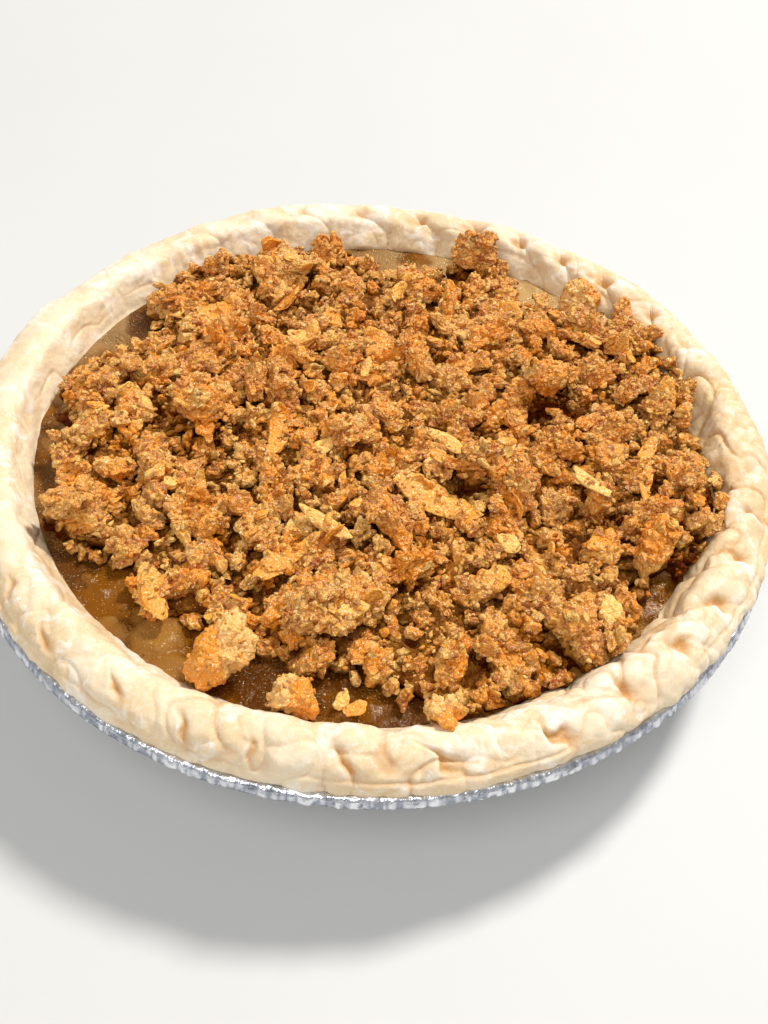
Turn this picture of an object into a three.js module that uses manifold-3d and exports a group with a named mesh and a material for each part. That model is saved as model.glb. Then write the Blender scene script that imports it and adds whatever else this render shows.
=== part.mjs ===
// Streusel pie in its own foil tin: a crimped shortcrust shell, an apple filling that shows as a wet
// moat round the edge, and a heap of streusel on top, with a few large crumbs lying apart from it.
// Millimetres, +Z up. The origin is the middle of the tin's flat base, on the table.
// Azimuth runs anticlockwise from +X, seen from above, and the front of the pie is -Y.
import * as THREE from "three";
import { mergeVertices } from "three/addons/utils/BufferGeometryUtils.js";
import Module from "manifold-3d";

const wasm = await Module();
wasm.setup();

const TURN = 2 * Math.PI;
const GAP = 0.35; // clearance between neighbours

// Tin
const TIN = {
  rimRadius: 111,
  height: 33,
  baseRadius: 83,
  wallTopRadius: 100.5,
  foil: 0.6,
  beadHeight: 2.2, // rolled edge of the flange
  segments: 76,
};

// Crust
const CRIMPS = 38;
const CRUST_SEGMENTS = 4 * CRIMPS; // four stations to a crimp
const CRUST = {
  outerRadius: 109.6,
  outerShoulder: { radius: 107.4, height: 39.2 },
  crown: { radius: 104, height: 41.6 },
  crest: { radius: 100.5, height: 42.2 },
  innerShoulder: { radius: 96.5, height: 41 },
  innerWall: { radius: 94.7, height: 38.2 },
  waterRadius: 91.5, // inner wall at the filling's level
  floorRadius: 78,
  floor: 3.6, // thickness of the base
  ripple: 1.6, // height of a crimp's lobe over the crease beside it
  scallop: 2.3, // how far a crimp's lobe bulges inwards
  dimple: 3.4, // depth of the thumb mark beside each lobe
  slant: 0.5, // how far a crimp leans, in crimps across the rim
  softAzimuth: 155, // side where the crimps are pressed out
};

// Filling
const FILLING = { level: 34.6, segments: 60, lump: 2.4 };

// Streusel heap
const HEAP = {
  edgeRadius: 86,
  edgeHeight: 2, // of the core, at its edge
  crown: 7.8, // of the core, above its edge
  segments: 40,
  rings: 4,
  clumps: 93,
  stride: 35, // steps through the places, so that the largest clumps are spread evenly
  clumpRadius: [11, 5.8], // of the first clump and the last
  flakes: 12,
  flakeRadius: [4.5, 8.5],
  flakeThickness: 1.7,
};
const HEAP_BASE = FILLING.level + GAP;

// Where the heap's outline reaches out over the crust, or draws back and bares the filling.
const OUTLINE = [
  { azimuth: 150, width: 13, reach: -12 },
  { azimuth: 120, width: 11, reach: 4 },
  { azimuth: 83, width: 9, reach: -8 },
  { azimuth: 65, width: 6, reach: 3 },
  { azimuth: 50, width: 8, reach: -7 },
  { azimuth: 26, width: 14, reach: 9 },
  { azimuth: 345, width: 12, reach: 8 },
  { azimuth: 305, width: 14, reach: 2 },
  { azimuth: 266, width: 14, reach: -9 },
  { azimuth: 240, width: 16, reach: -8 },
];

// Large crumbs that lie apart from the heap: place, half sizes, turn about +Z and rise of the far end.
const LOOSE_CRUMBS = [
  { name: "crumb_front_left", azimuth: 249, radius: 85.5, half: [11.5, 5.8, 4.8], turn: 57, rise: 28, lift: 5.4 },
  { name: "crumb_front", azimuth: 262, radius: 89.5, half: [5.6, 6.4, 5.4], turn: 20, rise: 0, lift: 3 },
  { name: "crumb_back_right", azimuth: 46, radius: 89, half: [6.8, 6.2, 5.6], turn: 10, rise: 0, lift: 3 },
  { name: "crumb_front_right", azimuth: 283, radius: 94.5, half: [4.9, 4.8, 4.6], turn: 15, rise: 0, lift: 5 },
];

const CRUMB_TILT = 0.25; // sideways lean of the large crumbs, in radians

const radians = (degrees) => (degrees * Math.PI) / 180;
const clamp = (x, low, high) => Math.min(high, Math.max(low, x));
const mix = (a, b, t) => a + (b - a) * t;
const bell = (x, width) => Math.exp(-0.5 * (x / width) ** 2);

// Smallest signed difference of two azimuths, in degrees.
const apart = (a, b) => ((((a - b) % 360) + 540) % 360) - 180;

// Seeded draws, so that the crumbs fall the same way each time.
function drawer(seed) {
  let state = seed >>> 0;
  return () => {
    state = (state + 0x6d2b79f5) >>> 0;
    let t = Math.imul(state ^ (state >>> 15), state | 1);
    t ^= t + Math.imul(t ^ (t >>> 7), t | 61);
    return ((t ^ (t >>> 14)) >>> 0) / 4294967296;
  };
}

// A closed body turned round Z whose profile may change with the azimuth. profileAt(angle) gives
// [radius, height] points that start and end on the axis, the outer side first.
function turnedBody(profileAt, segments) {
  const positions = [];
  const index = [];
  const inner = profileAt(0).length - 2;
  for (let i = 0; i < segments; i++) {
    const angle = (TURN * i) / segments;
    for (const [r, z] of profileAt(angle).slice(1, -1)) {
      positions.push(r * Math.cos(angle), r * Math.sin(angle), z);
    }
  }
  const first = profileAt(0);
  const bottom = positions.length / 3;
  positions.push(0, 0, first[0][1], 0, 0, first[first.length - 1][1]);
  const top = bottom + 1;
  for (let i = 0; i < segments; i++) {
    const a = i * inner;
    const b = ((i + 1) % segments) * inner;
    index.push(bottom, b, a);
    for (let j = 0; j + 1 < inner; j++) {
      index.push(a + j, b + j, b + j + 1);
      index.push(a + j, b + j + 1, a + j + 1);
    }
    index.push(a + inner - 1, b + inner - 1, top);
  }
  const geometry = new THREE.BufferGeometry();
  geometry.setAttribute("position", new THREE.Float32BufferAttribute(positions, 3));
  geometry.setIndex(index);
  return geometry;
}

// A three.js geometry as a manifold-3d solid, and back.
function solidOf(geometry) {
  const bare = geometry.clone();
  bare.deleteAttribute("normal");
  bare.deleteAttribute("uv");
  const merged = mergeVertices(bare, 1e-4);
  return new wasm.Manifold(
    new wasm.Mesh({
      numProp: 3,
      vertProperties: new Float32Array(merged.attributes.position.array),
      triVerts: new Uint32Array(merged.index.array),
    }),
  );
}

function geometryOf(solid) {
  const { numProp, vertProperties, triVerts } = solid.getMesh();
  const positions = new Float32Array((vertProperties.length / numProp) * 3);
  for (let i = 0; i < positions.length / 3; i++) {
    positions.set(vertProperties.subarray(i * numProp, i * numProp + 3), i * 3);
  }
  const geometry = new THREE.BufferGeometry();
  geometry.setAttribute("position", new THREE.BufferAttribute(positions, 3));
  geometry.setIndex(new THREE.BufferAttribute(new Uint32Array(triVerts), 1));
  return geometry;
}

// The largest separate body of a solid, so that no scrap is left beside it.
function largestBody(solid) {
  return solid.decompose().reduce((best, body) => (body.volume() > best.volume() ? body : best));
}

// Tin: a pressed foil dish with a flat base, a sloping wall, a flange and a rolled edge.
function tinProfile() {
  const { rimRadius, height, baseRadius, wallTopRadius, foil, beadHeight } = TIN;
  return [
    [0, 0],
    [baseRadius, 0],
    [wallTopRadius + foil, height - foil],
    [rimRadius - 1.4, height - foil],
    [rimRadius - 0.6, height - beadHeight],
    [rimRadius, height - beadHeight / 2],
    [rimRadius - 0.5, height],
    [wallTopRadius, height],
    [baseRadius - 0.6, foil],
    [0, foil],
  ];
}

// How strongly the rim is crimped at an azimuth: deep at the front and right, pressed out at the left.
function crimpStrength(angle) {
  const away = apart((angle * 180) / Math.PI, CRUST.softAzimuth);
  return 0.3 + 0.7 * clamp((Math.abs(away) - 35) / 50, 0, 1);
}

// Rounded lobe of one crimp, 0 at the crease between two lobes and 1 at its crown.
const lobe = (turns) => Math.pow(Math.abs(Math.sin(Math.PI * turns)), 0.7);

// Crust: the shell that lines the tin, with a rolled rim in slanted crimps. grow swells the rim and the
// inner wall, which makes the cutter that keeps its neighbours clear.
function crustProfile(angle, grow = 0) {
  const { outerRadius, outerShoulder, crown, crest, innerShoulder, innerWall } = CRUST;
  const strength = crimpStrength(angle);
  const turns = (angle / TURN) * CRIMPS;
  const wander = 0.5 * Math.sin(3 * angle + 1) + 0.4 * Math.sin(7 * angle);
  // Rise of the slanted lobe at a radius, less the thumb mark that lies on the crease's outer end.
  const relief = (r) => {
    const lean = (CRUST.slant * (r - crest.radius)) / (outerRadius - innerShoulder.radius);
    const phase = turns + CRUST.slant / 4;
    const mark = CRUST.dimple * bell(phase - Math.round(phase), 0.16) * bell(r - crown.radius, 2.6);
    return strength * (CRUST.ripple * (lobe(turns + lean) - 0.55) - mark);
  };
  const onTop = ({ radius, height }) => [radius, height + wander + relief(radius) + grow];
  const inwards = CRUST.scallop * strength * lobe(turns - CRUST.slant / 2);
  const base = TIN.foil + GAP;
  const underFlange = TIN.height + GAP;
  const inside = base + CRUST.floor + grow;
  const [innerRadius, innerHeight] = onTop(innerShoulder);
  return [
    [0, base],
    [TIN.baseRadius - 1.6, base],
    [TIN.wallTopRadius - 2 * GAP, underFlange - 1],
    [TIN.wallTopRadius - GAP, underFlange],
    [outerRadius - 1.2, underFlange],
    [outerRadius + grow + relief(outerRadius) / 2, underFlange + 2.6],
    onTop(outerShoulder),
    onTop(crown),
    onTop(crest),
    [innerRadius - inwards * 0.6 - grow, innerHeight],
    [innerWall.radius - inwards - grow, innerWall.height + wander * 0.6],
    [CRUST.waterRadius - grow, FILLING.level],
    [CRUST.floorRadius - grow, inside],
    [0, inside],
  ];
}

// Height of the filling's surface below its level: soft apple lumps in a ring that the heap leaves bare.
function fillingDip(r, angle) {
  const bared = clamp((r - 62) / 8, 0, 1);
  const across = Math.cos(9 * angle + 1.3 * Math.sin(2 * angle)) * Math.cos((r - 80) / 4.5);
  const along = Math.cos(13 * angle + 0.9) * Math.cos((r - 74) / 6);
  return bared * FILLING.lump * (0.5 - 0.32 * across - 0.18 * along);
}

function fillingProfile(angle) {
  const floor = TIN.foil + GAP + CRUST.floor + 2 * GAP;
  const rings = [89, 85.5, 82, 78, 73.5, 68];
  return [
    [0, floor],
    [CRUST.floorRadius - 2 * GAP, floor],
    [CRUST.waterRadius - 2 * GAP, FILLING.level - 0.4],
    ...rings.map((r) => [r, FILLING.level - fillingDip(r, angle)]),
    [30, FILLING.level],
    [0, FILLING.level],
  ];
}

// Radius of the heap's uneven outline.
function heapEdge(angle) {
  const azimuth = (angle * 180) / Math.PI;
  const wave = 1.2 * Math.sin(11 * angle) + 0.9 * Math.sin(17 * angle + 2);
  return OUTLINE.reduce(
    (sum, o) => sum + o.reach * bell(apart(azimuth, o.azimuth), o.width),
    HEAP.edgeRadius + wave,
  );
}

// Height of the heap's core above the filling: steep at the edge, nearly level across the middle.
function coreHeight(share, angle) {
  const crown = HEAP.crown * Math.pow(1 - Math.pow(share, 2.4), 0.7);
  const rough = 1.1 * Math.sin(share * 19 + 5 * Math.sin(3 * angle)) * Math.cos(7 * angle);
  return HEAP.edgeHeight + crown + rough * (1 - share * 0.6);
}

function heapCore() {
  return turnedBody((angle) => {
    const edge = heapEdge(angle) - 4;
    const profile = [
      [0, HEAP_BASE],
      [edge - 1, HEAP_BASE],
    ];
    for (let i = HEAP.rings; i > 0; i--) {
      const share = i / HEAP.rings;
      profile.push([edge * share, HEAP_BASE + coreHeight(share, angle)]);
    }
    profile.push([0, HEAP_BASE + coreHeight(0, 0)]);
    return profile;
  }, HEAP.segments);
}

// An uneven lump: a faceted ball whose corners are pushed in and out by a seeded draw.
function lump(draw, detail, half, turn, tilt, rise = 0) {
  const ball = mergeVertices(bareBall(detail), 1e-4);
  const place = ball.attributes.position;
  for (let i = 0; i < place.count; i++) {
    const push = mix(0.8, 1.18, draw());
    place.setXYZ(i, place.getX(i) * push, place.getY(i) * push, place.getZ(i) * push);
  }
  ball.scale(...half);
  ball.rotateX(tilt);
  ball.rotateY(-rise);
  ball.rotateZ(turn);
  return ball;
}

function bareBall(detail) {
  const ball = detail ? new THREE.IcosahedronGeometry(1, detail) : new THREE.OctahedronGeometry(1, 1);
  ball.deleteAttribute("normal");
  ball.deleteAttribute("uv");
  return ball;
}

// A toasted flake: a thin curled disc with a ragged outline.
function flake(draw, radius) {
  const disc = new THREE.CylinderGeometry(radius, radius * 0.94, HEAP.flakeThickness, 9, 1);
  const ragged = Array.from({ length: 10 }, () => mix(0.7, 1.15, draw()));
  const curl = mix(0.25, 0.6, draw()) / radius;
  const place = disc.attributes.position;
  for (let i = 0; i < place.count; i++) {
    const x = place.getX(i);
    const z = place.getZ(i);
    const out = Math.hypot(x, z);
    const spoke = out > 0.01 ? Math.round(((Math.atan2(z, x) + TURN) / TURN) * 9) % 9 : 9;
    const reach = out > 0.01 ? ragged[spoke] : 1;
    place.setXYZ(i, x * reach, place.getY(i) + curl * x * x, z * reach * 0.75);
  }
  disc.deleteAttribute("normal");
  disc.deleteAttribute("uv");
  return disc;
}

// Streusel: the core, clumps spread evenly over it, the largest first, and flakes lying on them, all
// joined, then trimmed to lie on the filling and clear of the crust.
function streusel() {
  const draw = drawer(41);
  const golden = Math.PI * (3 - Math.sqrt(5));
  const pieces = [solidOf(heapCore())];
  for (let i = 0; i < HEAP.clumps; i++) {
    const place = (i * HEAP.stride) % HEAP.clumps; // in a spiral from the middle outwards
    const angle = (place * golden) % TURN;
    const size = mix(...HEAP.clumpRadius, i / HEAP.clumps);
    const half = [size * mix(0.9, 1.2, draw()), size * mix(0.75, 1, draw()), size * mix(0.65, 0.9, draw())];
    const edge = heapEdge(angle);
    const reach = Math.min(edge * Math.sqrt((place + 0.5) / HEAP.clumps), edge - size * 0.85);
    const ball = lump(draw, size > 10 ? 1 : 0, half, draw() * TURN, mix(-0.5, 0.5, draw()));
    const lift = coreHeight(reach / edge, angle) - size * mix(0.05, 0.4, draw());
    ball.translate(reach * Math.cos(angle), reach * Math.sin(angle), HEAP_BASE + Math.max(lift, size * 0.2));
    pieces.push(solidOf(ball));
  }
  for (let i = 0; i < HEAP.flakes; i++) {
    const angle = ((i + 0.4) * golden * 3) % TURN;
    const share = 0.9 * Math.sqrt((i + 0.5) / HEAP.flakes);
    const leaf = flake(draw, mix(...HEAP.flakeRadius, draw()));
    leaf.rotateX(Math.PI / 2 + mix(-0.6, 0.6, draw()));
    leaf.rotateZ(draw() * TURN);
    const reach = share * (heapEdge(angle) - 8);
    const lift = coreHeight(share, angle) + mix(3.5, 5.5, draw());
    leaf.translate(reach * Math.cos(angle), reach * Math.sin(angle), HEAP_BASE + lift);
    pieces.push(solidOf(leaf));
  }
  return trimmed(wasm.Manifold.union(pieces));
}

// What lies on the filling, cut flat just above it and kept clear of the crust.
function trimmed(solid) {
  const clearance = solidOf(turnedBody((angle) => crustProfile(angle, GAP), CRUST_SEGMENTS));
  const slab = new THREE.BoxGeometry(300, 300, 60);
  slab.translate(0, 0, HEAP_BASE - 30);
  return largestBody(solid.subtract(clearance).subtract(solidOf(slab)));
}

// A loose crumb, or the same one swollen by grow, which makes the cutter that keeps the heap clear of it.
function looseCrumb({ azimuth, radius, half, turn, rise, lift }, seed, grow = 0) {
  const swollen = half.map((size) => size + grow);
  const ball = lump(drawer(seed), 1, swollen, radians(turn), CRUMB_TILT, radians(rise));
  const angle = radians(azimuth);
  ball.translate(radius * Math.cos(angle), radius * Math.sin(angle), HEAP_BASE + lift);
  return solidOf(ball);
}

const FINISH = {
  tin: { color: 0xc9cdd2, roughness: 0.32, metalness: 1 },
  crust: { color: 0xf0dcb8, roughness: 0.5, metalness: 0 },
  filling: { color: 0x7d4d1f, roughness: 0.2, metalness: 0 },
  streusel: { color: 0xb4743a, roughness: 0.7, metalness: 0 },
  crumb: { color: 0xd08a30, roughness: 0.65, metalness: 0 },
};

function piece(name, geometry, finish) {
  const made = new THREE.Mesh(geometry, new THREE.MeshStandardMaterial(finish));
  made.name = name;
  return made;
}

const crumbs = LOOSE_CRUMBS.map((spec, i) => trimmed(looseCrumb(spec, 7 + i)));
const crumbCutters = LOOSE_CRUMBS.map((spec, i) => looseCrumb(spec, 7 + i, 2 * GAP));
const heap = largestBody(streusel().subtract(wasm.Manifold.union(crumbCutters)));

const pie = new THREE.Group();
pie.add(piece("tin", turnedBody(tinProfile, TIN.segments), FINISH.tin));
pie.add(piece("crust", turnedBody((angle) => crustProfile(angle), CRUST_SEGMENTS), FINISH.crust));
pie.add(piece("filling", turnedBody(fillingProfile, FILLING.segments), FINISH.filling));
crumbs.forEach((crumb, i) => pie.add(piece(LOOSE_CRUMBS[i].name, geometryOf(crumb), FINISH.crumb)));
pie.add(piece("streusel", geometryOf(heap), FINISH.streusel));

export default pie;
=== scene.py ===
# Streusel pie in its foil tin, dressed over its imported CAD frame. Metres, +Z up.
# Azimuth runs anticlockwise from +X, seen from above, and the front of the pie is -Y.
import math

import bmesh
import bpy
import numpy as np
from mathutils import Matrix, Vector
from mathutils.bvhtree import BVHTree


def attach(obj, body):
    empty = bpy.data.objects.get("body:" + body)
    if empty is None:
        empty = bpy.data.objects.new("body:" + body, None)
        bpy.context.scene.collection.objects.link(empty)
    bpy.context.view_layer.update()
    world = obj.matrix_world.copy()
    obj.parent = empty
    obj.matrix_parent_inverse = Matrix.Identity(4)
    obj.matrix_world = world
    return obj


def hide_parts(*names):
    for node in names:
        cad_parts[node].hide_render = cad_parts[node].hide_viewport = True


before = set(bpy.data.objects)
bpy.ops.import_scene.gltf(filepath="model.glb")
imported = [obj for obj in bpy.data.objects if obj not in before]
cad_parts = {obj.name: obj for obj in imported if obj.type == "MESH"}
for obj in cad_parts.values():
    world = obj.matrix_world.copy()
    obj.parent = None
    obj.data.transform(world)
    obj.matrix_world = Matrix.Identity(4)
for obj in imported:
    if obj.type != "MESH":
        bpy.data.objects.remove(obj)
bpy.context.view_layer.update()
print("frame loaded:", ", ".join(sorted(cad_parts)))

mm = 0.001
turn = 2 * math.pi


# Helpers for numbers


def bell(x, width):
    return np.exp(-0.5 * (x / width) ** 2)


def apart(angle, azimuth):  # signed difference from an azimuth given in degrees, in degrees
    return (np.degrees(angle) - azimuth + 180) % 360 - 180


def ramp(x, low, high):  # smooth step from 0 at low to 1 at high
    t = np.clip((x - low) / (high - low), 0, 1)
    return t * t * (3 - 2 * t)


oddFactors = np.array([374761393, 668265263, 2246822519, 3266489917], np.uint32)


# A value from 0 to 1 for each lattice point, mixed from its whole coordinates by multiplying and shifting.
def latticeValue(x, y, z, seed):
    a, b, c, d = oddFactors
    h = x.astype(np.uint32) * a
    h += y.astype(np.uint32) * b
    h += z.astype(np.uint32) * c
    h += np.uint32(seed * int(d) % 2**32)
    h = (h ^ (h >> np.uint32(15))) * c
    h = (h ^ (h >> np.uint32(13))) * d
    return (h ^ (h >> np.uint32(16))).astype(float) / (2**32 - 1)


def between(pair, share):
    return pair[0] + (pair[1] - pair[0]) * share


def unit(vectors):
    return vectors / np.linalg.norm(vectors, axis=-1, keepdims=True)


def onPlan(azimuth, radius):  # X and Y of a place, from its azimuth in degrees
    a = math.radians(azimuth)
    return radius * math.cos(a), radius * math.sin(a)


# Smooth noise from -1 to 1: lattice values blended across each cell by 3t^2 - 2t^3.
def softNoise(points, size, seed):
    p = points / size
    cell = np.floor(p).astype(np.int64)
    t = p - cell
    t = t * t * (3 - 2 * t)
    total = np.zeros(len(p))
    for corner in np.ndindex(2, 2, 2):
        share = np.abs(1 - np.array(corner) - t)
        total += share[:, 0] * share[:, 1] * share[:, 2] * latticeValue(*(cell + corner).T, seed)
    return 2 * total - 1


# Sum of soft noises, each half the size and half the height of the one before.
def layeredNoise(points, size, seed, layers=4):
    shares = 0.5 ** np.arange(layers)
    return sum(softNoise(points, size * s, seed + 17 * i) * s for i, s in enumerate(shares)) / shares.sum()


# Distances, in cells, to the nearest and second nearest of the seeds that lie one in each lattice cell, and
# the nearest one's own value.
def cellNoise(points, size, seed):
    p = points / size
    home = np.floor(p).astype(np.int64)
    nearest = np.full(len(p), 9.0)
    second = np.full(len(p), 9.0)
    owner = np.zeros(len(p))
    for neighbour in np.ndindex(3, 3, 3):
        c = home + neighbour - 1
        spot = c + np.stack([latticeValue(*c.T, seed + k) for k in range(3)], 1)
        distance = np.linalg.norm(p - spot, axis=1)
        closer = distance < nearest
        second = np.where(closer, nearest, np.minimum(second, distance))
        owner = np.where(closer, latticeValue(*c.T, seed + 5), owner)
        nearest = np.where(closer, distance, nearest)
    return nearest, second, owner


# Layered noise over the points of some copies, each moved off along X, Y and Z to its own stretch of it.
def ownNoise(copies, gap, size, seed, layers):
    moved = copies + (np.arange(len(copies)) * gap)[:, None, None]
    return layeredNoise(moved.reshape(-1, 3), size, seed, layers).reshape(len(copies), -1)


# A sideways shift of each point by soft noise: along X and Y, and along Z too with three axes.
def drift(points, size, seed, axes=2):
    shifts = [softNoise(points, size, seed + k) for k in range(axes)]
    return np.stack(shifts + [0 * shifts[0]] * (3 - axes), 1)


# Helpers for meshes


def link(name, data):
    thing = bpy.data.objects.new(name, data)
    bpy.context.scene.collection.objects.link(thing)
    return thing


# A closed mesh from arrays of points and triangles, with one number per point for each named attribute.
def addPiece(name, points, triangles, material, slot, replaced=(), smooth=True, **attributes):
    mesh = bpy.data.meshes.new(name)
    mesh.vertices.add(len(points))
    mesh.vertices.foreach_set("co", np.ascontiguousarray(points, np.float32).ravel())
    mesh.loops.add(triangles.size)
    mesh.loops.foreach_set("vertex_index", np.ascontiguousarray(triangles, np.int32).ravel())
    mesh.polygons.add(len(triangles))
    mesh.polygons.foreach_set("loop_start", np.arange(0, triangles.size, 3, dtype=np.int32))
    mesh.polygons.foreach_set("use_smooth", np.full(len(triangles), smooth))
    mesh.update(calc_edges=True)
    for attribute, values in attributes.items():
        mesh.attributes.new(attribute, "FLOAT", "POINT").data.foreach_set("value", values.astype(np.float32))
    mesh.materials.append(material)
    piece = link(name, mesh)
    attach(piece, "root")
    if replaced:
        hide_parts(*replaced)
    print(f"{name}: {len(triangles)} triangles")
    return piece


# Evenly spaced points on a smooth curve: each stretch is the cubic through its two ends whose slopes there
# follow the points on either side.
def smoothCurve(knots, count):
    knots = np.array(knots, float)
    ends = np.concatenate([[2 * knots[0] - knots[1]], knots, [2 * knots[-1] - knots[-2]]])
    t = np.linspace(0, 1, 40, endpoint=False)[:, None]
    stretches = [
        0.5 * (2 * b + (c - a) * t + (2 * a - 5 * b + 4 * c - d) * t**2 + (3 * b - a - 3 * c + d) * t**3)
        for a, b, c, d in zip(ends, ends[1:], ends[2:], ends[3:])
    ]
    fine = np.concatenate(stretches + [knots[-1:]])
    length = np.concatenate([[0], np.cumsum(np.linalg.norm(np.diff(fine, axis=0), axis=1))])
    places = np.linspace(0, length[-1], count)
    return np.stack([np.interp(places, length, fine[:, i]) for i in (0, 1)], 1), places


# Outward normals of a profile that runs up its outer side: its tangent turned clockwise by a quarter.
def profileNormals(profile):
    tangent = unit(np.gradient(profile, axis=0))
    return np.stack([tangent[:, 1], -tangent[:, 0]], 1)


def azimuths(rows):  # a column of angles, one for each row round the axis
    return (np.arange(rows) / rows * turn)[:, None]


# Points of a polar sheet: radius and height arrays of rows by columns.
def polarPoints(angle, radius, height):
    x = radius * np.cos(angle)
    return np.stack([x, radius * np.sin(angle), height + 0 * x], -1).reshape(-1, 3)


# Triangles of a closed turned body: rows go round the axis, columns run along the profile between two poles.
def turnedTriangles(rows, columns):
    row, column = np.meshgrid(np.arange(rows), np.arange(columns - 1), indexing="ij")
    a = (row * columns + column).ravel()
    b = ((row + 1) % rows * columns + column).ravel()
    start = np.arange(rows) * columns
    following = np.roll(start, -1)
    bottom = np.full(rows, rows * columns)
    return np.concatenate([
        np.stack([a, b, b + 1], 1),
        np.stack([a, b + 1, a + 1], 1),
        np.stack([bottom, following, start], 1),
        np.stack([bottom + 1, start + columns - 1, following + columns - 1], 1),
    ])


# Points of a turned body: its polar sheet, then the two poles on the axis.
def turnedPoints(angle, radius, height, bottom, top):
    return np.concatenate([polarPoints(angle, radius, height), [[0, 0, bottom], [0, 0, top]]])


# Values for all points of a turned body: 0 for the hidden columns before and after, and for the two poles.
def wholeBody(values, before, after=0):
    return np.concatenate([np.pad(values, ((0, 0), (before, after))).ravel(), [0, 0]])


# A turned body in place of the CAD node that its slot is named after. Before and after its sheet come the
# parts of its profile that aren't seen, as pairs of radius and height.
def addTurned(name, slot, material, radius, level, poles, before=(), after=(), **looks):
    rows = len(level)
    before, after = (np.repeat([np.reshape(part, (-1, 2))], rows, 0) for part in (before, after))
    seen = np.stack(np.broadcast_arrays(radius, level), -1)
    sheet = np.concatenate([before, seen, after], 1)
    points = turnedPoints(azimuths(rows), sheet[..., 0], sheet[..., 1], *poles)
    triangles = turnedTriangles(rows, sheet.shape[1])
    looks = {look: wholeBody(v, before.shape[1], after.shape[1]) for look, v in looks.items()}
    addPiece(name, points * mm, triangles, material, slot, [slot], **looks)


# Directions and triangles of a ball of triangles, each level four times finer. A gather over 1 draws them
# towards the top: the angle from it becomes pi * (angle / pi)^gather.
def ballTemplate(level, gather=1.0):
    ball = bmesh.new()
    bmesh.ops.create_icosphere(ball, subdivisions=level, radius=1)
    directions = np.array([v.co[:] for v in ball.verts])
    triangles = np.array([[v.index for v in f.verts] for f in ball.faces])
    ball.free()
    fromTop = np.arccos(np.clip(directions[:, 2], -1, 1))
    gathered = np.pi * (fromTop / np.pi) ** gather
    flat = np.sin(gathered) / np.maximum(np.sin(fromTop), 1e-6)
    directions[:, :2] *= flat[:, None]
    directions[:, 2] = np.cos(gathered)
    return directions, triangles


# Rotation matrices that turn +Z to each given normal, after a spin about +Z.
def turnTo(normals, spins):
    z = unit(normals)
    side = np.where(np.abs(z[:, :1]) < 0.9, [[1.0, 0, 0]], [[0, 1.0, 0]])
    x = unit(np.cross(side, z))
    y = np.cross(z, x)
    c, s = np.cos(spins)[:, None], np.sin(spins)[:, None]
    return np.stack([x * c + y * s, y * c - x * s, z], 2)


def placeCopies(copies, turns, centres):  # each turned and moved to its centre
    return np.einsum("nij,nvj->nvi", turns, copies) + centres[:, None]


# Colours and materials


def colour(red, green, blue):  # from 0 to 255 as seen in a picture, to the linear values of a socket
    srgb = np.array([red, green, blue]) / 255
    linear = np.where(srgb <= 0.04045, srgb / 12.92, ((srgb + 0.055) / 1.055) ** 2.4)
    return (*linear, 1.0)


class Shader:  # short calls that add nodes to one tree
    def __init__(self, tree):
        self.tree = tree

    def feed(self, node, given):
        for key, value in given.items():
            if isinstance(value, bpy.types.NodeSocket):
                self.tree.links.new(value, node.inputs[key])
            else:
                node.inputs[key].default_value = value

    def add(self, kind, given=None, **settings):
        node = self.tree.nodes.new(kind)
        for key, value in settings.items():
            setattr(node, key, value)
        self.feed(node, given or {})
        return node

    def maths(self, operation, *values, clamp=False):
        given = dict(enumerate(values))
        return self.add("ShaderNodeMath", given, operation=operation, use_clamp=clamp).outputs[0]

    def times(self, a, b):
        return self.maths("MULTIPLY", a, b)

    def sumOf(self, a, share, b):  # a * share + b
        return self.maths("MULTIPLY_ADD", a, share, b)

    def noise(self, place, scale, detail=4.0, rough=0.55, bent=0.0):
        given = {"Vector": place, "Scale": scale, "Detail": detail, "Roughness": rough, "Distortion": bent}
        return self.add("ShaderNodeTexNoise", given).outputs["Fac"]

    def cells(self, place, scale, feature="F1"):
        given = {"Vector": place, "Scale": scale}
        return self.add("ShaderNodeTexVoronoi", given, feature=feature).outputs["Distance"]

    def spread(self, value, low, high, toLow=0.0, toHigh=1.0):  # low to high becomes toLow to toHigh
        given = {"Value": value, "From Min": low, "From Max": high, "To Min": toLow, "To Max": toHigh}
        return self.add("ShaderNodeMapRange", given, interpolation_type="SMOOTHSTEP").outputs["Result"]

    def blend(self, amount, a, b, kind="MIX"):
        given = {0: amount, 6: a, 7: b}
        return self.add("ShaderNodeMix", given, data_type="RGBA", blend_type=kind).outputs[2]

    def attribute(self, name):
        return self.add("ShaderNodeAttribute", attribute_name=name).outputs["Fac"]

    def place(self):
        return self.add("ShaderNodeTexCoord").outputs["Object"]

    def bump(self, height, distance, strength=1.0):
        given = {"Height": height, "Distance": distance, "Strength": strength}
        return self.add("ShaderNodeBump", given).outputs["Normal"]


class Surface(Shader):  # a new material's tree, whose last call feeds its shader
    def __init__(self, name):
        self.material = bpy.data.materials.new(name)
        self.material.use_nodes = True
        super().__init__(self.material.node_tree)

    def finish(self, given):
        self.feed(self.tree.nodes["Principled BSDF"], given)
        return self.material


# Settings for light that passes a little way in: its share, and its reach in millimetres by colour.
def seeThrough(share, red, green, blue):
    reach = (red * mm, green * mm, blue * mm)
    return {"Subsurface Weight": share, "Subsurface Radius": reach, "Subsurface Scale": 1.0}


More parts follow.
